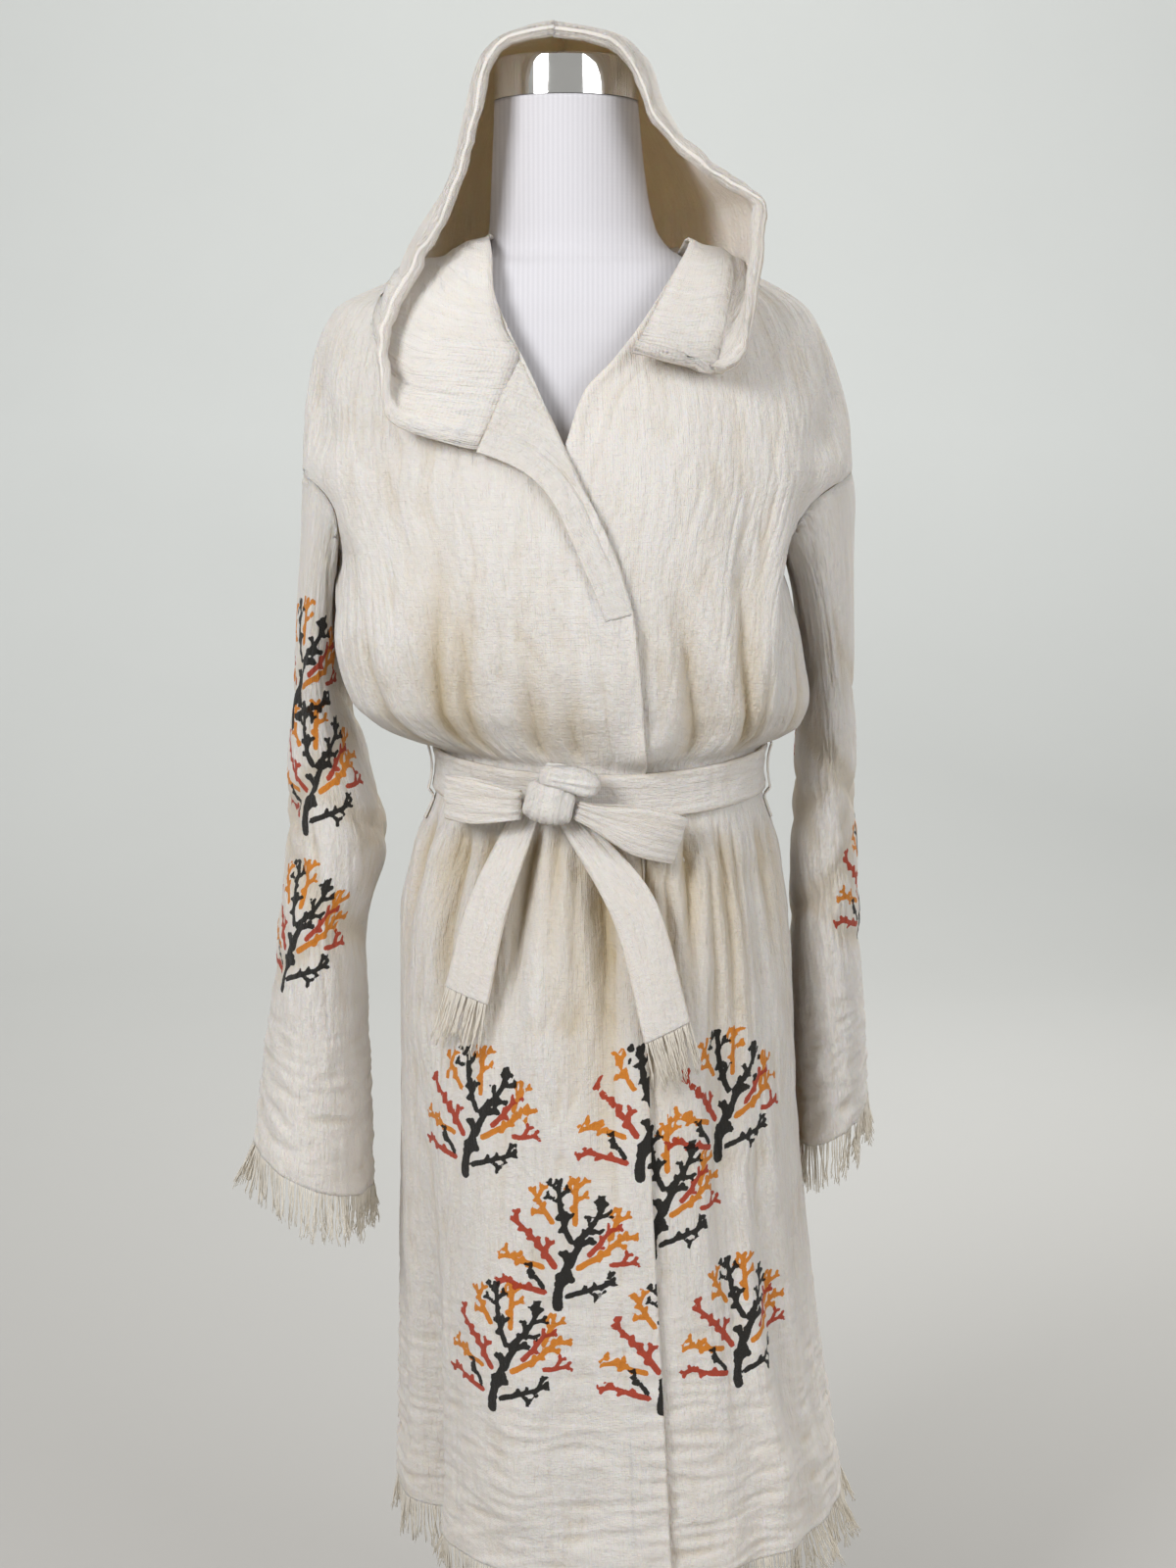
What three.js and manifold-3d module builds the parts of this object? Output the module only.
// A hooded, kimono-cut wrap robe of double gauze, belted on a limbless dress form with a round stand.
// Millimetres, +Z up. The robe faces -Y, the wearer's left is +X, and the origin is under the stand's base.
import * as THREE from "three";
import { mergeVertices } from "three/addons/utils/BufferGeometryUtils.js";
import Module from "manifold-3d";

const wasm = await Module();
wasm.setup();

// ---------------------------------------------------------------- driving dimensions
const CLOTH = 2; // wall of the double gauze
const SEAM_GAP = 0.4; // between two pieces that are sewn together
const HEM_Z = 250; // the skirt's hem at the centre front
const NECK_Z = 1342; // the top edge of the fronts and the back, where the hood is sewn on
const WAIST_Z = 904; // the belt's middle line at the centre front
const WAIST_RISE = 12; // the belt lies this much higher at the sides
const SIDE_HEM_RISE = 14; // the hem lies this much higher at the sides
const ARMHOLE = { low: 1098, high: 1166, spread: 28, rows: 6 }; // z of the sleeve seam, half its width in degrees
const UNDERLAP = 4.2; // how far the left front lies inside the right one
const ROUNDNESS = 0.87; // exponent of the body rings: 1 is an ellipse, less is squarer
const TUCK_FROM = 0.78; // share of a ring's half width where the underarm tucks start
const BELT = { height: 36, thick: 3, lift: 5 }; // lift is from the cloth to its outer face
const HOOD_LIFT = 7.5; // least distance of the hood's outer face from the cloth it hangs on
const FRINGE = { length: 37, backing: 3, drop: 0.6, wide: 1.3, deep: 0.7 }; // drop parts it from the cloth's edge
const FORM_SIDES = 28;
const NECK_JOIN_Z = 1364; // where the form's neck stands on its body
const CAP = { x: -18, radius: 60, bottom: 1465.4, top: 1498 };
const POLE = { radius: 13, top: 649.6 };
const BASE = { radius: 165, thick: 12, hub: 28, hubTop: 46, bevel: 2.5 };

const COLOURS = {
  gauze: { color: 0xe9e3d6, roughness: 0.95 },
  thread: { color: 0xe6dfce, roughness: 0.95 },
  jersey: { color: 0xf1eef0, roughness: 0.85 },
  chrome: { color: 0xd8d8d8, roughness: 0.08, metalness: 1 },
};

// Rings of the worn cloth. left and right are X, front and back are depths from Y 0, middle is the X of the
// centre front, sideY is where the ring is widest, and the tucks pull its sides in under the arms.
const BODY_RINGS = [
  { z: 250, middle: 30, left: -174, right: 232, front: 163, back: 185, sideY: 10, leftTuck: 0, rightTuck: 0 },
  { z: 440, middle: 20, left: -170, right: 203, front: 157, back: 172, sideY: 8, leftTuck: 0, rightTuck: 0 },
  { z: 640, middle: 12, left: -163, right: 181, front: 149, back: 156, sideY: 4, leftTuck: 0, rightTuck: 0 },
  { z: 775, middle: 8, left: -162, right: 174, front: 138, back: 140, sideY: 0, leftTuck: 0, rightTuck: 0 },
  { z: 840, middle: 6, left: -150, right: 165, front: 128, back: 121, sideY: 0, leftTuck: 0, rightTuck: 0 },
  { z: 882, middle: 6, left: -130, right: 149, front: 114, back: 98, sideY: 0, leftTuck: 0, rightTuck: 0 },
  { z: 904, middle: 6, left: -126, right: 146, front: 111, back: 95, sideY: 0, leftTuck: 0, rightTuck: 0 },
  { z: 926, middle: 6, left: -129, right: 149, front: 113, back: 97, sideY: -4, leftTuck: 0, rightTuck: 0 },
  { z: 936, middle: 5, left: -150, right: 163, front: 120, back: 103, sideY: -18, leftTuck: 0, rightTuck: 0 },
  { z: 950, middle: 4, left: -176, right: 178, front: 129, back: 109, sideY: -32, leftTuck: 0, rightTuck: 0 },
  { z: 974, middle: 2, left: -197, right: 184, front: 141, back: 112, sideY: -40, leftTuck: 0, rightTuck: 0 },
  { z: 1020, middle: -2, left: -210, right: 186, front: 149, back: 113, sideY: -36, leftTuck: 0, rightTuck: 8 },
  { z: 1065, middle: -6, left: -215, right: 192, front: 149, back: 111, sideY: -22, leftTuck: 5, rightTuck: 24 },
  { z: 1098, middle: -8, left: -224, right: 203, front: 147, back: 108, sideY: -6, leftTuck: 14, rightTuck: 40 },
  { z: 1132, middle: -9, left: -233, right: 213, front: 143, back: 106, sideY: 0, leftTuck: 8, rightTuck: 20 },
  { z: 1166, middle: -10, left: -238, right: 221, front: 137, back: 104, sideY: 0, leftTuck: 0, rightTuck: 0 },
  { z: 1197, middle: -11, left: -237, right: 220, front: 130, back: 101, sideY: 0, leftTuck: 0, rightTuck: 0 },
  { z: 1250, middle: -13, left: -231, right: 207, front: 115, back: 96, sideY: 0, leftTuck: 0, rightTuck: 0 },
  { z: 1296, middle: -14, left: -212, right: 184, front: 99, back: 88, sideY: 0, leftTuck: 0, rightTuck: 0 },
  { z: 1318, middle: -12, left: -170, right: 153, front: 88, back: 80, sideY: 0, leftTuck: 0, rightTuck: 0 },
  { z: 1334, middle: -9, left: -126, right: 111, front: 78, back: 75, sideY: 0, leftTuck: 0, rightTuck: 0 },
  { z: 1342, middle: -8, left: -102, right: 86, front: 71, back: 72, sideY: 0, leftTuck: 0, rightTuck: 0 },
];

// Troughs of the worn cloth, from (low z, low angle) to (high z, high angle). Angles are in degrees from
// the centre front towards +X. deep is in mm and wide in degrees.
const TROUGHS = [
  { name: "left flank", lowZ: 250, lowAt: -63, highZ: 720, highAt: -58, deep: 42, wide: 10, deepestZ: 250 },
  { name: "flare", lowZ: 250, lowAt: 54, highZ: 760, highAt: 42, deep: 16, wide: 9, deepestZ: 400 },
  { name: "under wrap", lowZ: 250, lowAt: 33, highZ: 880, highAt: 33, deep: 12, wide: 7, deepestZ: 560 },
  { name: "gather 1", lowZ: 640, lowAt: -44, highZ: 890, highAt: -41, deep: 11, wide: 7, deepestZ: 840 },
  { name: "gather 2", lowZ: 560, lowAt: -20, highZ: 890, highAt: -22, deep: 11, wide: 7, deepestZ: 830 },
  { name: "gather 3", lowZ: 520, lowAt: 4, highZ: 890, highAt: 2, deep: 11, wide: 7, deepestZ: 800 },
  { name: "gather 4", lowZ: 600, lowAt: 56, highZ: 890, highAt: 56, deep: 12, wide: 7, deepestZ: 820 },
  { name: "blouse 1", lowZ: 918, lowAt: -46, highZ: 1080, highAt: -38, deep: 11, wide: 7, deepestZ: 956 },
  { name: "blouse 2", lowZ: 918, lowAt: -22, highZ: 1090, highAt: -18, deep: 10, wide: 7, deepestZ: 956 },
  { name: "blouse 3", lowZ: 918, lowAt: 33, highZ: 1130, highAt: 20, deep: 11, wide: 7, deepestZ: 966 },
  { name: "blouse 4", lowZ: 918, lowAt: 60, highZ: 1060, highAt: 62, deep: 11, wide: 7, deepestZ: 956 },
  { name: "left armhole", lowZ: 1170, lowAt: -62, highZ: 1290, highAt: -74, deep: 9, wide: 8, deepestZ: 1200 },
  { name: "right armhole", lowZ: 1170, lowAt: 62, highZ: 1290, highAt: 74, deep: 10, wide: 8, deepestZ: 1200 },
  { name: "back 1", lowZ: 250, lowAt: 132, highZ: 890, highAt: 144, deep: 18, wide: 10, deepestZ: 480 },
  { name: "back 2", lowZ: 250, lowAt: 171, highZ: 890, highAt: 168, deep: 14, wide: 10, deepestZ: 560 },
  { name: "back 3", lowZ: 250, lowAt: 207, highZ: 890, highAt: 198, deep: 18, wide: 10, deepestZ: 480 },
  { name: "back 4", lowZ: 250, lowAt: 243, highZ: 880, highAt: 226, deep: 18, wide: 10, deepestZ: 420 },
  { name: "back blouse 1", lowZ: 918, lowAt: 150, highZ: 1090, highAt: 156, deep: 10, wide: 10, deepestZ: 960 },
  { name: "back blouse 2", lowZ: 918, lowAt: 207, highZ: 1090, highAt: 200, deep: 10, wide: 10, deepestZ: 960 },
];

// X of each front's free edge. The right front is the upper one; above the wrap its edge is the roll line.
const RIGHT_FRONT_EDGE = [
  { z: 250, x: 70 },
  { z: 440, x: 60 },
  { z: 600, x: 52 },
  { z: 936, x: 46 },
  { z: 1046, x: 37 },
  { z: 1118, x: 14 },
  { z: 1172, x: -14 },
  { z: 1243, x: -45 },
  { z: 1272, x: -60 },
  { z: 1316, x: -80 },
  { z: 1342, x: -96 },
];
const LEFT_FRONT_EDGE = [
  { z: 250, x: -58 },
  { z: 900, x: -56 },
  { z: 1050, x: -48 },
  { z: 1150, x: -30 },
  { z: 1193, x: -16 },
  { z: 1229, x: -3 },
  { z: 1254, x: 20 },
  { z: 1285, x: 44 },
  { z: 1316, x: 64 },
  { z: 1342, x: 81 },
];
const LEAST_LAP = 12; // degrees of the upper front that count as the lap where the fronts part

// Rows of the fronts and the back, from the hem up, in bands.
const ROW_BANDS = [
  { from: 250, to: 640, steps: 4 },
  { from: 640, to: 850, steps: 3 },
  { from: 850, to: 926, steps: 3 },
  { from: 926, to: 974, steps: 4 },
  { from: 974, to: 1098, steps: 2 },
  { from: 1098, to: 1166, steps: ARMHOLE.rows, round: true },
  { from: 1166, to: 1296, steps: 3 },
  { from: 1296, to: 1342, steps: 3 },
];

// Sleeve sections from the cuff up: x and y of the middle, half width across X, half depth across Y.
// cuffRise is how much the cuff climbs for each mm away from the body.
const SLEEVES = {
  right: {
    side: -1,
    cuffRise: 0.46,
    sections: [
      { z: 568, x: -240, y: -8, wide: 50, deep: 84 },
      { z: 650, x: -236, y: -2, wide: 45, deep: 80 },
      { z: 772, x: -231, y: 6, wide: 38, deep: 75 },
      { z: 851, x: -218, y: 14, wide: 44, deep: 72 },
      { z: 925, x: -226, y: 20, wide: 33, deep: 70 },
      { z: 985, x: -230, y: 24, wide: 23, deep: 68 },
      { z: 1050, x: -228, y: 20, wide: 21, deep: 67 },
      { z: 1100, x: -222, y: 6, wide: 24, deep: 74 },
    ],
  },
  left: {
    side: 1,
    cuffRise: 0.7,
    sections: [
      { z: 592, x: 218, y: 52, wide: 31, deep: 80 },
      { z: 650, x: 216, y: 50, wide: 30, deep: 78 },
      { z: 800, x: 209, y: 44, wide: 30, deep: 74 },
      { z: 950, x: 207, y: 34, wide: 25, deep: 70 },
      { z: 1050, x: 206, y: 20, wide: 22, deep: 67 },
      { z: 1100, x: 206, y: 4, wide: 24, deep: 72 },
    ],
  },
};
const SLEEVE = { sides: 4 * ARMHOLE.rows, rows: 10, setIn: 0.72, bodyGap: 3.5, slantFrom: 1000 };

// Hood sections from the neck seam (at 0) to the crown seam (at 1). The free edge runs through EDGE, its bow
// is BEND, and the bowl behind the neck reaches from wideL to wideR and to back.
const HOOD_MIDDLE_X = -18;
const HOOD_EDGE_LEFT = [
  { at: 0, x: -77, y: -136, z: 1200, bendX: 22, bendZ: 6 },
  { at: 0.13, x: -155, y: -123, z: 1219, bendX: 8, bendZ: 0 },
  { at: 0.3, x: -169, y: -104, z: 1267, bendX: 0, bendZ: 0 },
  { at: 0.5, x: -143, y: -92, z: 1332, bendX: 0, bendZ: 0 },
  { at: 0.68, x: -113, y: -83, z: 1385, bendX: 0, bendZ: 0 },
  { at: 0.82, x: -98, y: -77, z: 1440, bendX: 0, bendZ: 0 },
  { at: 0.92, x: -85, y: -72, z: 1492, bendX: 0, bendZ: 0 },
  { at: 1, x: -29, y: -76, z: 1518, bendX: 0, bendZ: 0 },
];
const HOOD_EDGE_RIGHT = [
  { at: 0, x: 34, y: -132, z: 1256, bendX: 0, bendZ: 0 },
  { at: 0.13, x: 105, y: -126, z: 1240, bendX: 0, bendZ: 0 },
  { at: 0.3, x: 138, y: -104, z: 1312, bendX: 0, bendZ: 0 },
  { at: 0.5, x: 144, y: -84, z: 1375, bendX: 0, bendZ: 0 },
  { at: 0.68, x: 95, y: -81, z: 1412, bendX: 0, bendZ: 0 },
  { at: 0.82, x: 57, y: -77, z: 1450, bendX: 0, bendZ: 0 },
  { at: 0.92, x: 39, y: -72, z: 1499, bendX: 0, bendZ: 0 },
  { at: 1, x: -25, y: -76, z: 1518, bendX: 0, bendZ: 0 },
];
const HOOD_BOWL = [
  { at: 0, wideL: -99, wideR: 85, back: 76, sideZ: 1349, backZ: 1350 },
  { at: 0.13, wideL: -116, wideR: 101, back: 103, sideZ: 1355, backZ: 1346 },
  { at: 0.3, wideL: -140, wideR: 124, back: 146, sideZ: 1356, backZ: 1334 },
  { at: 0.5, wideL: -134, wideR: 118, back: 156, sideZ: 1384, backZ: 1385 },
  { at: 0.68, wideL: -116, wideR: 90, back: 138, sideZ: 1425, backZ: 1440 },
  { at: 0.82, wideL: -102, wideR: 67, back: 108, sideZ: 1468, backZ: 1480 },
  { at: 0.92, wideL: -87, wideR: 52, back: 70, sideZ: 1503, backZ: 1501 },
  { at: 1, wideL: -18, wideR: -18, back: 62, sideZ: 1513, backZ: 1508 },
];
const HOOD = { columns: 13, rows: 13, front: 75, flat: 0.42, seam: 0.8, crown: 4.8, roll: 6 }; // roll thickens the hem

// The turned-out top of the right front, from the hood's seam (at 0) to the point of the V (at 1).
const LAPEL = [
  { at: 0, topX: -54, topZ: 1257, topLift: 3.2, lowX: -72, lowZ: 1186, lowLift: 11 },
  { at: 0.5, topX: -38, topZ: 1224, topLift: 3, lowX: -52, lowZ: 1168, lowLift: 5 },
  { at: 1, topX: -17, topZ: 1176, topLift: 2.8, lowX: -24, lowZ: 1137, lowLift: 2.8 },
];

// The belt's knot, loops and tails. The loops run from the knot to their tips, root and tall being the
// heights of the folded belt at the two ends.
const KNOT = [
  { x: -31, y: -132.1, z: 903, wide: 23, deep: 14, tall: 19, tilt: -14 },
  { x: -14, y: -135.1, z: 922, wide: 26, deep: 10, tall: 13, tilt: -12 },
];
const BOWS = [
  { name: "belt_bow_right", knot: [-53.2, -128.1, 900], tip: [-118, -96, 902], deep: 9, tall: 36, root: 24 },
  { name: "belt_bow_left", knot: [-9.7, -133.1, 897], tip: [75, -123, 869], deep: 9, tall: 40, root: 16 },
];
const BOW_SAG = 6;
const TAILS = {
  belt_tail_right: [
    { at: 0, x: -96, z: 742, wide: 17 },
    { at: 0.45, x: -80, z: 812, wide: 15 },
    { at: 1, x: -46, z: 896, wide: 9 },
  ],
  belt_tail_left: [
    { at: 0, x: 63, z: 716, wide: 18 },
    { at: 0.5, x: 38, z: 812, wide: 17 },
    { at: 1, x: -16, z: 892, wide: 9 },
  ],
};
const TAIL_LIFT = BELT.lift + 2 * SEAM_GAP + BELT.thick;
const BELT_LOOPS = { belt_loop_right: -84, belt_loop_left: 86 }; // degrees from the centre front
const BELT_LOOP = { wide: 5, top: 20, bottom: -44, thick: 1.4, low: 2, high: 8.4, turn: 9 };

const FRINGES = [
  { name: "fringe_hem_front_right", cloth: "front_right", strands: 22 },
  { name: "fringe_hem_front_left", cloth: "front_left", strands: 20 },
  { name: "fringe_hem_back", cloth: "back", strands: 34 },
  { name: "fringe_cuff_right", cloth: "sleeve_right", strands: 22 },
  { name: "fringe_cuff_left", cloth: "sleeve_left", strands: 20 },
  { name: "fringe_belt_right", cloth: "belt_tail_right", strands: 7 },
  { name: "fringe_belt_left", cloth: "belt_tail_left", strands: 7 },
];

// The dress form's torso and neck.
const FORM_RINGS = [
  { z: 650, middle: 2, wide: 128, front: 94, back: 96 },
  { z: 700, middle: 3, wide: 136, front: 99, back: 103 },
  { z: 760, middle: 4, wide: 139, front: 101, back: 105 },
  { z: 850, middle: 5, wide: 119, front: 87, back: 86 },
  { z: 907, middle: 6, wide: 104, front: 77, back: 74 },
  { z: 950, middle: 3, wide: 110, front: 86, back: 77 },
  { z: 1040, middle: -4, wide: 132, front: 110, back: 84 },
  { z: 1120, middle: -8, wide: 147, front: 122, back: 89 },
  { z: 1180, middle: -11, wide: 165, front: 112, back: 87 },
  { z: 1240, middle: -13, wide: 178, front: 98, back: 82 },
  { z: 1280, middle: -14, wide: 178, front: 88, back: 76 },
  { z: 1300, middle: -13, wide: 173, front: 84, back: 73 },
  { z: 1315, middle: -10, wide: 156, front: 79, back: 71 },
  { z: 1331, middle: -9, wide: 115, front: 73, back: 69 },
  { z: 1339, middle: -8, wide: 90, front: 67, back: 66 },
  { z: 1348, middle: -10, wide: 77, front: 63, back: 62 },
  { z: 1364, middle: -13, wide: 69, front: 61, back: 61 },
  { z: 1400, middle: -16, wide: 64, front: 60, back: 60 },
  { z: 1465, middle: -18, wide: 59, front: 59, back: 59 },
];

// ---------------------------------------------------------------- small maths
const rad = THREE.MathUtils.degToRad;
const mix = THREE.MathUtils.lerp;
const ease = THREE.MathUtils.smoothstep; // ease(value, low, high)
const clamp = THREE.MathUtils.clamp;
const vec = (x, y, z) => new THREE.Vector3(x, y, z);
const power = (value, exponent) => Math.sign(value) * Math.abs(value) ** exponent;
const range = (count) => Array.from({ length: count }, (_, i) => i);
// A repeatable number from -1 to 1 for strand number i.
const scatter = (i, salt) => 2 * (Math.abs(Math.sin(i * 12.9898 + salt * 78.233) * 43758.5453) % 1) - 1;

// Reads column key of a table at a place along it, smoothly and without overshoot.
function along(table, place, key, axis = "z") {
  const last = table.length - 1;
  if (place <= table[0][axis]) return table[0][key];
  if (place >= table[last][axis]) return table[last][key];
  const slope = (i) => (table[i + 1][key] - table[i][key]) / (table[i + 1][axis] - table[i][axis]);
  const tangent = (i) => {
    if (i === 0) return slope(0);
    if (i === last) return slope(last - 1);
    const [before, after] = [slope(i - 1), slope(i)];
    return before * after <= 0 ? 0 : (2 * before * after) / (before + after);
  };
  const i = table.findIndex((row) => row[axis] > place) - 1;
  const step = table[i + 1][axis] - table[i][axis];
  const t = (place - table[i][axis]) / step;
  const straight = mix(table[i][key], table[i + 1][key], t * t * (3 - 2 * t));
  return straight + step * (t * (1 - t) ** 2 * tangent(i) - t * t * (1 - t) * tangent(i + 1));
}

// ---------------------------------------------------------------- the worn surface
// The rings near the waist rise at the sides with the belt.
const waistShift = (angle, z) => WAIST_RISE * Math.sin(angle) ** 2 * Math.exp(-(((z - WAIST_Z) / 60) ** 2));

function ringPoint(angle, z) {
  const read = (key) => along(BODY_RINGS, z - waistShift(angle, z), key);
  const [across, forward] = [power(Math.sin(angle), ROUNDNESS), power(Math.cos(angle), ROUNDNESS)];
  const middle = read("middle");
  const [edge, tuck] = across > 0 ? [read("right"), -read("rightTuck")] : [read("left"), read("leftTuck")];
  const depth = forward > 0 ? read("front") : read("back");
  return vec(
    middle + (edge - middle) * Math.abs(across) + tuck * ease(Math.abs(across), TUCK_FROM, 1),
    -depth * forward + read("sideY") * across * across,
    z,
  );
}

function troughDepth(angle, z) {
  const degrees = THREE.MathUtils.radToDeg(angle);
  const depths = TROUGHS.filter((fold) => z >= fold.lowZ - 1 && z <= fold.highZ).map((fold) => {
    const at = mix(fold.lowAt, fold.highAt, (z - fold.lowZ) / (fold.highZ - fold.lowZ));
    const turn = THREE.MathUtils.euclideanModulo(degrees - at + 180, 360) - 180;
    const rise = fold.deepestZ > fold.lowZ ? ease(z, fold.lowZ, fold.deepestZ) : 1;
    const start = fold.lowZ === HEM_Z ? Math.max(rise, 0.5) : rise;
    const share = Math.min(start, 1 - ease(z, fold.deepestZ, fold.highZ));
    return fold.deep * share * Math.exp(-((turn / fold.wide) ** 2));
  });
  return depths.reduce((sum, depth) => sum + depth, 0);
}

// The outward direction of the ring surface, level or along the true slope.
function outward(angle, z, sloped = false) {
  const [turn, climb] = [0.01, 2];
  const around = ringPoint(angle + turn, z).sub(ringPoint(angle - turn, z));
  const up = sloped ? ringPoint(angle, z + climb).sub(ringPoint(angle, z - climb)) : vec(0, 0, 1);
  return around.cross(up).normalize();
}

// A point of the cloth's outer face, moved out by lift. Troughs pull it in towards the wearer.
function clothPoint(angle, z, lift = 0, folds = 1) {
  return ringPoint(angle, z).addScaledVector(outward(angle, z), lift - folds * troughDepth(angle, z));
}

// The angle at which the ring at height z passes X on its front.
function frontAngle(x, z) {
  const middle = along(BODY_RINGS, z, "middle");
  const edge = along(BODY_RINGS, z, x > middle ? "right" : "left");
  const share = clamp(Math.abs((x - middle) / (edge - middle)), 0, 1);
  return Math.sign(x - middle) * Math.asin(share ** (1 / ROUNDNESS));
}
const frontPoint = (x, z, lift) => clothPoint(frontAngle(x, z), z, lift, 0);

// Moves a point out, if it must, until it is gap from the worn surface.
function keepClear(point, gap) {
  if (point.z > NECK_Z) return point;
  const read = (key) => along(BODY_RINGS, point.z, key);
  const dx = point.x - read("middle");
  const across = clamp(dx / Math.abs(read(dx > 0 ? "right" : "left") - read("middle")), -1.5, 1.5);
  const dy = point.y - read("sideY") * Math.min(1, across * across);
  const forward = -dy / read(dy < 0 ? "front" : "back");
  const angle = Math.atan2(power(across, 1 / ROUNDNESS), power(forward, 1 / ROUNDNESS));
  const out = outward(angle, point.z, true);
  const distance = point.clone().sub(ringPoint(angle, point.z)).dot(out);
  return distance < gap ? point.clone().addScaledVector(out, gap - distance) : point;
}

// ---------------------------------------------------------------- solids from surfaces
// A closed wall between two grids of points, rows of outer and inner. A tube's columns run right round.
function shell(outer, inner, tube) {
  const [rows, across] = [outer.length - 1, outer[0].length];
  const columns = tube ? across : across - 1;
  const id = (j, i, layer) => (layer * (rows + 1) + j) * across + (i % across);
  const faces = [];
  const quad = (a, b, c, d) => faces.push(a, b, c, a, c, d);
  for (const i of range(columns)) {
    for (const j of range(rows)) {
      quad(id(j, i, 0), id(j, i + 1, 0), id(j + 1, i + 1, 0), id(j + 1, i, 0));
      quad(id(j, i, 1), id(j + 1, i, 1), id(j + 1, i + 1, 1), id(j, i + 1, 1));
    }
    quad(id(0, i, 0), id(0, i, 1), id(0, i + 1, 1), id(0, i + 1, 0));
    quad(id(rows, i, 0), id(rows, i + 1, 0), id(rows, i + 1, 1), id(rows, i, 1));
  }
  for (const j of tube ? [] : range(rows)) {
    quad(id(j, 0, 0), id(j + 1, 0, 0), id(j + 1, 0, 1), id(j, 0, 1));
    quad(id(j, columns, 0), id(j, columns, 1), id(j + 1, columns, 1), id(j + 1, columns, 0));
  }
  return new THREE.BufferGeometry().setFromPoints([...outer.flat(), ...inner.flat()]).setIndex(faces);
}

// surface(u, v) is the outer face, with u x v pointing out; the inner face lies thick(u) inside it.
function wall({ surface, columns, rows, tube = false, thick = () => CLOTH }) {
  const across = tube ? columns : columns + 1;
  const outer = range(rows + 1).map((j) => range(across).map((i) => surface(i / columns, j / rows)));
  const at = (j, i) => outer[clamp(j, 0, rows)][tube ? (i + across) % across : clamp(i, 0, columns)];
  const inner = outer.map((row, j) =>
    row.map((point, i) => {
      const alongU = at(j, i + 1).clone().sub(at(j, i - 1));
      const alongV = at(j + 1, i).clone().sub(at(j - 1, i));
      return point.clone().addScaledVector(alongU.cross(alongV).normalize(), -thick(i / columns));
    }),
  );
  return shell(outer, inner, tube);
}

function toSolid(geometry) {
  const bare = geometry.clone();
  bare.deleteAttribute("normal");
  bare.deleteAttribute("uv");
  const merged = mergeVertices(bare, 1e-3);
  const vertProperties = new Float32Array(merged.attributes.position.array);
  const triVerts = new Uint32Array(merged.index.array);
  return new wasm.Manifold(new wasm.Mesh({ numProp: 3, vertProperties, triVerts }));
}

function fromSolid(solid) {
  const mesh = solid.getMesh();
  return new THREE.BufferGeometry()
    .setAttribute("position", new THREE.BufferAttribute(new Float32Array(mesh.vertProperties), 3))
    .setIndex(new THREE.BufferAttribute(new Uint32Array(mesh.triVerts), 1));
}

const robe = new THREE.Group();
const cloths = {}; // the pieces whose lower edge can carry a fringe

function add(name, geometry, colour) {
  const mesh = new THREE.Mesh(geometry, new THREE.MeshStandardMaterial(COLOURS[colour]));
  mesh.name = name;
  robe.add(mesh);
}

function addCloth(name, piece) {
  cloths[name] = piece;
  add(name, wall(piece), "gauze");
}

// ---------------------------------------------------------------- fronts and back
// A round band's rows crowd at its top and bottom, so that their ends lie evenly on an oval.
const bandRows = ({ from, to, steps, round }) =>
  range(steps).map((k) => {
    const share = (k + 1) / steps;
    return mix(from, to, round ? (1 - Math.cos(Math.PI * share)) / 2 : share);
  });
const rowHeights = [HEM_Z, ...ROW_BANDS.flatMap(bandRows)];

function rowHeight(v) {
  const place = v * (rowHeights.length - 1);
  const row = Math.min(Math.floor(place), rowHeights.length - 2);
  return mix(rowHeights[row], rowHeights[row + 1], place - row);
}

// A body panel through boundaries, each an angle for a height, with the columns of each part between them.
function bodyPanel(name, boundaries, parts, lift = () => 0) {
  const columns = parts.reduce((sum, part) => sum + part, 0);
  const angleAt = (u, z) => {
    const part = u * columns > parts[0] ? parts.length - 1 : 0;
    const place = (u * columns - (part ? parts[0] : 0)) / parts[part];
    return mix(boundaries[part](z), boundaries[part + 1](z), place);
  };
  const surface = (u, v) => {
    const z = rowHeight(v);
    const angle = angleAt(u, z);
    const hemRise = SIDE_HEM_RISE * Math.sin(angle) ** 2 * (1 - ease(z, HEM_Z, 640));
    return clothPoint(angle, z + hemRise + waistShift(angle, z), lift(angle, z));
  };
  addCloth(name, { surface, columns, rows: rowHeights.length - 1 });
}

// How far the armhole pushes a panel's side back, in radians: an oval.
function armholeNotch(z) {
  const share = clamp((2 * z - ARMHOLE.low - ARMHOLE.high) / (ARMHOLE.high - ARMHOLE.low), -1, 1);
  return rad(ARMHOLE.spread) * Math.sqrt(1 - share * share);
}
const side = (z) => rad(90) - armholeNotch(z) - SEAM_GAP / 2 / along(BODY_RINGS, z, "right");
const rightEdge = (z) => frontAngle(along(RIGHT_FRONT_EDGE, z, "x"), z);
const leftEdge = (z) => frontAngle(along(LEFT_FRONT_EDGE, z, "x"), z);

function addBody() {
  const lapStart = (z) => Math.min(leftEdge(z), rightEdge(z) - rad(LEAST_LAP));
  const lapEnd = (z) => Math.max(rightEdge(z), leftEdge(z) + rad(LEAST_LAP));
  const [outerPart, lap, innerPart, backPart] = [9, 6, 9, 16];
  bodyPanel("front_right", [(z) => -side(z), lapStart, rightEdge], [outerPart, lap]);
  const under = (angle, z) => {
    const beyond = ease(angle, rightEdge(z) + rad(1), rightEdge(z) + rad(22));
    return -UNDERLAP * (1 - beyond) * (1 - ease(z, 1205, 1250));
  };
  bodyPanel("front_left", [leftEdge, lapEnd, side], [lap, innerPart], under);
  bodyPanel("back", [(z) => rad(180) - side(z), (z) => rad(180) + side(z)], [backPart]);
}

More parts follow.
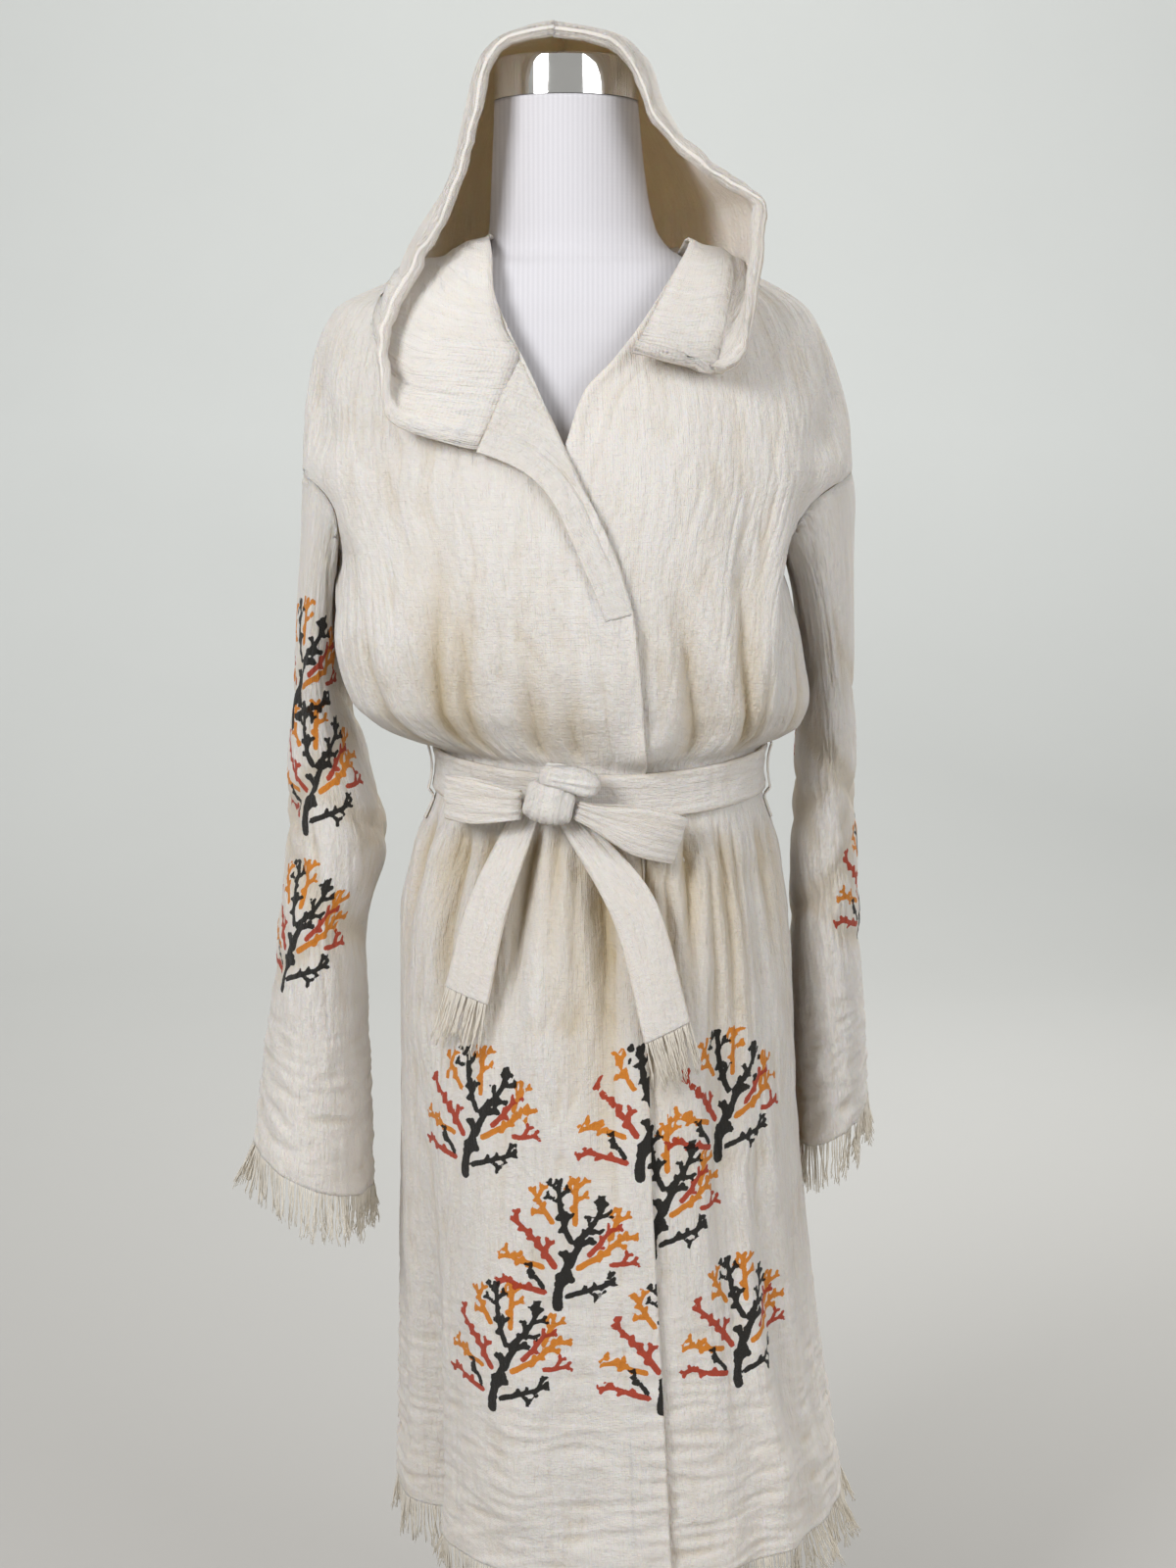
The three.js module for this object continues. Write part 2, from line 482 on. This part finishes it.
// ---------------------------------------------------------------- sleeves
// The sleeve's end of the armhole seam, at turn round the sleeve: 0 is the outermost point. Between the
// panels' rows it follows their straight edges.
function armholePoint(sign, turn) {
  const step = Math.PI / ARMHOLE.rows;
  const half = (ARMHOLE.high - ARMHOLE.low) / 2 - 2 * SEAM_GAP;
  const corner = (k) => {
    const angle = sign * rad(90) + rad(ARMHOLE.spread - 0.6) * Math.sin(k * step);
    return clothPoint(angle, (ARMHOLE.low + ARMHOLE.high) / 2 + half * Math.cos(k * step));
  };
  const place = turn / step;
  return corner(Math.floor(place)).lerp(corner(Math.floor(place) + 1), place % 1);
}

function sleevePoint({ side: sign, cuffRise, sections }, turn, v) {
  const [cuff, top] = [sections[0].z, sections[sections.length - 1].z];
  const z = mix(cuff, top, Math.min(1, v * 1.06));
  const read = (key) => along(sections, z, key);
  const outwards = read("wide") * Math.cos(turn);
  const climb = cuffRise * (1 - ease(z, cuff, cuff + 200)) + 0.9 * ease(z, SLEEVE.slantFrom, top);
  const [x, y] = [read("x") + sign * outwards, read("y") + sign * read("deep") * Math.sin(turn)];
  const section = vec(x, y, z + climb * outwards);
  const gap = mix(SLEEVE.bodyGap, -20, ease(v, 0.93, 1));
  return keepClear(section.lerp(armholePoint(sign, turn), ease(v, SLEEVE.setIn, 1)), gap);
}

function addSleeve(name, sleeve) {
  const surface = (u, v) => sleevePoint(sleeve, u * 2 * Math.PI, v);
  addCloth(name, { surface, columns: SLEEVE.sides, rows: SLEEVE.rows, tube: true });
}

// ---------------------------------------------------------------- hood and lapel
// across runs from -1, the free edge on the -X side, round behind the neck to +1.
function hoodPoint(across, at) {
  const bowl = (key) => along(HOOD_BOWL, at, key, "at");
  const edge = (key) => along(across < 0 ? HOOD_EDGE_LEFT : HOOD_EDGE_RIGHT, at, key, "at");
  const turn = Math.PI * (1 - 0.7 * Math.abs(across));
  const toBack = (1 - Math.cos(turn)) / 2;
  const point = vec(
    HOOD_MIDDLE_X + Math.abs(bowl(across < 0 ? "wideL" : "wideR") - HOOD_MIDDLE_X) * Math.sign(across) * Math.sin(turn),
    -(Math.cos(turn) > 0 ? HOOD.front : bowl("back")) * Math.cos(turn),
    mix(bowl("sideZ"), bowl("backZ"), ease(toBack, 0.5, 1)),
  );
  const share = ease(Math.abs(across), HOOD.flat, 1);
  const bow = 6.75 * share * share * (1 - share);
  point.lerp(vec(edge("x"), edge("y"), edge("z")), share).add(vec(bow * edge("bendX"), 0, bow * edge("bendZ")));
  point.x += (Math.sign(across) * mix(HOOD.seam, HOOD.crown, ease(at, 0.86, 1))) / 2;
  return keepClear(point, HOOD_LIFT);
}

function addHood() {
  const hem = (share) => CLOTH + HOOD.roll * ease(share, 0.84, 0.97);
  const { columns, rows } = HOOD;
  const [left, right] = [(u, v) => hoodPoint(mix(1, 1e-6, u), v), (u, v) => hoodPoint(mix(-1e-6, -1, u), v)];
  addCloth("hood_left", { surface: left, columns, rows, thick: (u) => hem(1 - u) });
  addCloth("hood_right", { surface: right, columns, rows, thick: hem });
}

function addLapel() {
  const surface = (u, v) => {
    const read = (key) => along(LAPEL, u, key, "at");
    const [x, z] = [mix(read("lowX"), read("topX"), v), mix(read("lowZ"), read("topZ"), v)];
    return frontPoint(x, z, mix(read("lowLift"), read("topLift"), v));
  };
  addCloth("lapel_right", { surface, columns: 6, rows: 4 });
}

// ---------------------------------------------------------------- belt
const beltHeight = (angle) => WAIST_Z + WAIST_RISE * Math.sin(angle) ** 2;
const beltThick = () => BELT.thick;

function addWaistBelt() {
  const surface = (u, v) => {
    const angle = u * 2 * Math.PI;
    return clothPoint(angle, beltHeight(angle) + (v - 0.5) * BELT.height, BELT.lift, 0);
  };
  addCloth("belt_waist", { surface, columns: 36, rows: 2, tube: true, thick: beltThick });
}

function addKnot() {
  const lump = ({ x, y, z, wide, deep, tall, tilt }) => {
    const ball = new THREE.SphereGeometry(1, 12, 8);
    const points = ball.attributes.position;
    for (const i of range(points.count)) {
      const square = [points.getX(i), points.getY(i), points.getZ(i)].map((value) => power(value, 0.72));
      points.setXYZ(i, wide * square[0], deep * square[1], tall * square[2]);
    }
    return toSolid(ball.rotateY(rad(-tilt)).translate(x, y, z));
  };
  add("belt_knot", fromSolid(wasm.Manifold.union(KNOT.map(lump))), "gauze");
}

function addBow({ name, knot, tip, deep, tall, root }) {
  const [from, to] = [vec(...knot), vec(...tip)];
  const sign = Math.sign(to.x - from.x);
  const up = vec(-sign * (to.z - from.z), 0, sign * (to.x - from.x)).normalize();
  const surface = (u, v) => {
    const turn = 2 * Math.PI * u;
    const share = (1 + sign * Math.sin(turn)) / 2;
    const forward = -deep * Math.cos(turn) - BOW_SAG * 4 * share * (1 - share);
    const height = (v - 0.5) * mix(root, tall, ease(share, 0, 0.7));
    return from.clone().lerp(to, share).addScaledVector(up, height).add(vec(0, forward, 0));
  };
  addCloth(name, { surface, columns: 14, rows: 2, tube: true, thick: beltThick });
}

function addTail(name, path) {
  const surface = (u, v) => {
    const read = (key) => along(path, v, key, "at");
    const offset = (2 * u - 1) * read("wide");
    const lean = (path[2].x - path[0].x) / (path[2].z - path[0].z);
    return frontPoint(read("x") + offset, read("z") - offset * lean, TAIL_LIFT);
  };
  addCloth(name, { surface, columns: 3, rows: 8, thick: beltThick });
}

function addBeltLoop(name, degrees) {
  const { wide, top, bottom, thick, low, high, turn } = BELT_LOOP;
  const surface = (u, v) => {
    const height = mix(bottom, top, v);
    const over = ease(BELT.height / 2 + turn - Math.abs(height), 0, turn);
    const angle = rad(degrees) + ((2 * u - 1) * wide) / 130;
    return clothPoint(angle, beltHeight(rad(degrees)) + height, mix(low, high, over), 0);
  };
  addCloth(name, { surface, columns: 2, rows: 10, thick: () => thick });
}

// ---------------------------------------------------------------- ravelled edges
// Strands hang from a narrow strip that lies just below the lower edge of a cloth piece.
function addFringe({ name, cloth, strands }) {
  const { surface, columns, tube = false, thick = () => CLOTH } = cloths[cloth];
  const deep = thick(0);
  const down = (u) => surface(u, 0).sub(surface(u, 0.01)).normalize();
  const edge = (u, v) => surface(u, 0).addScaledVector(down(u), FRINGE.drop + (1 - v) * FRINGE.backing);
  const backing = toSolid(wall({ surface: edge, columns, rows: 1, tube, thick: () => deep }));

  const strand = (i) => {
    const place = ((i + 0.5) / strands) * columns;
    const [from, to] = [Math.floor(place), Math.floor(place) + 1].map((k) => edge(k / columns, 0.5));
    const sideways = to.clone().sub(from).normalize();
    const fall = down(place / columns);
    const out = fall.clone().cross(sideways).normalize();
    const root = from.lerp(to, place % 1).addScaledVector(out, -deep / 2);
    const tip = root.clone().addScaledVector(fall, FRINGE.length * (1 + 0.18 * scatter(i, 1)));
    tip.addScaledVector(sideways, 2.2 * scatter(i, 2)).addScaledVector(out, 2.5 * scatter(i, 3));
    const section = (centre, share) =>
      range(3).map((k) => {
        const turn = (2 * Math.PI * k) / 3;
        const offset = sideways.clone().multiplyScalar(FRINGE.wide * Math.cos(turn));
        return offset.addScaledVector(out, FRINGE.deep * Math.sin(turn)).multiplyScalar(share).add(centre);
      });
    const points = [...section(root, 1), ...section(tip, 0.5)];
    const sides = range(3).flatMap((k) => {
      const next = (k + 1) % 3;
      return [k, next, next + 3, k, next + 3, k + 3];
    });
    return toSolid(new THREE.BufferGeometry().setFromPoints(points).setIndex([0, 2, 1, 3, 4, 5, ...sides]));
  };
  add(name, fromSolid(wasm.Manifold.union([backing, ...range(strands).map(strand)])), "thread");
}

// ---------------------------------------------------------------- dress form and stand
function addFormPiece(name, rings) {
  const points = rings.flatMap(({ z, middle, wide, front, back }) =>
    range(FORM_SIDES).map((i) => {
      const angle = (i / FORM_SIDES) * 2 * Math.PI;
      return vec(middle + wide * Math.sin(angle), -(Math.cos(angle) > 0 ? front : back) * Math.cos(angle), z);
    }),
  );
  const [first, final] = [rings[0], rings[rings.length - 1]];
  const [bottom, top] = [points.length, points.length + 1];
  points.push(vec(first.middle, 0, first.z), vec(final.middle, 0, final.z));
  const last = (rings.length - 1) * FORM_SIDES;
  const faces = range(FORM_SIDES).flatMap((i) => {
    const next = (i + 1) % FORM_SIDES;
    const strip = range(rings.length - 1).flatMap((j) => {
      const [a, b] = [j * FORM_SIDES + i, j * FORM_SIDES + next];
      return [a, b, b + FORM_SIDES, a, b + FORM_SIDES, a + FORM_SIDES];
    });
    return [...strip, bottom, next, i, top, last + i, last + next];
  });
  add(name, new THREE.BufferGeometry().setFromPoints(points).setIndex(faces), "jersey");
}

function addForm() {
  addFormPiece("form_body", FORM_RINGS.filter(({ z }) => z <= NECK_JOIN_Z));
  const neck = FORM_RINGS.filter(({ z }) => z >= NECK_JOIN_Z);
  addFormPiece("form_neck", [{ ...neck[0], z: NECK_JOIN_Z + SEAM_GAP }, ...neck.slice(1)]);
}

function addStand() {
  const lathe = (profile, sides) =>
    new THREE.LatheGeometry(profile.map(([r, z]) => new THREE.Vector2(r, z)), sides).rotateX(Math.PI / 2);
  const cap = [
    [0, CAP.bottom],
    [CAP.radius, CAP.bottom],
    [CAP.radius, CAP.top - BASE.bevel],
    [CAP.radius - BASE.bevel, CAP.top],
    [0, CAP.top],
  ];
  add("form_neck_cap", lathe(cap, 28).translate(CAP.x, 0, 0), "chrome");
  const poleFoot = BASE.hubTop + SEAM_GAP;
  const pole = [
    [0, poleFoot],
    [POLE.radius, poleFoot],
    [POLE.radius, POLE.top],
    [0, POLE.top],
  ];
  add("stand_pole", lathe(pole, 16), "chrome");
  const base = [
    [0, 0],
    [BASE.radius, 0],
    [BASE.radius, BASE.thick - BASE.bevel],
    [BASE.radius - BASE.bevel, BASE.thick],
    [BASE.hub, BASE.thick],
    [BASE.hub - 6, BASE.hubTop],
    [0, BASE.hubTop],
  ];
  add("stand_base", lathe(base, 36), "chrome");
}

addForm();
addStand();
addBody();
addSleeve("sleeve_right", SLEEVES.right);
addSleeve("sleeve_left", SLEEVES.left);
addHood();
addLapel();
addWaistBelt();
addKnot();
BOWS.forEach(addBow);
Object.entries(TAILS).forEach(([name, path]) => addTail(name, path));
Object.entries(BELT_LOOPS).forEach(([name, degrees]) => addBeltLoop(name, degrees));
FRINGES.forEach(addFringe);

export default robe;
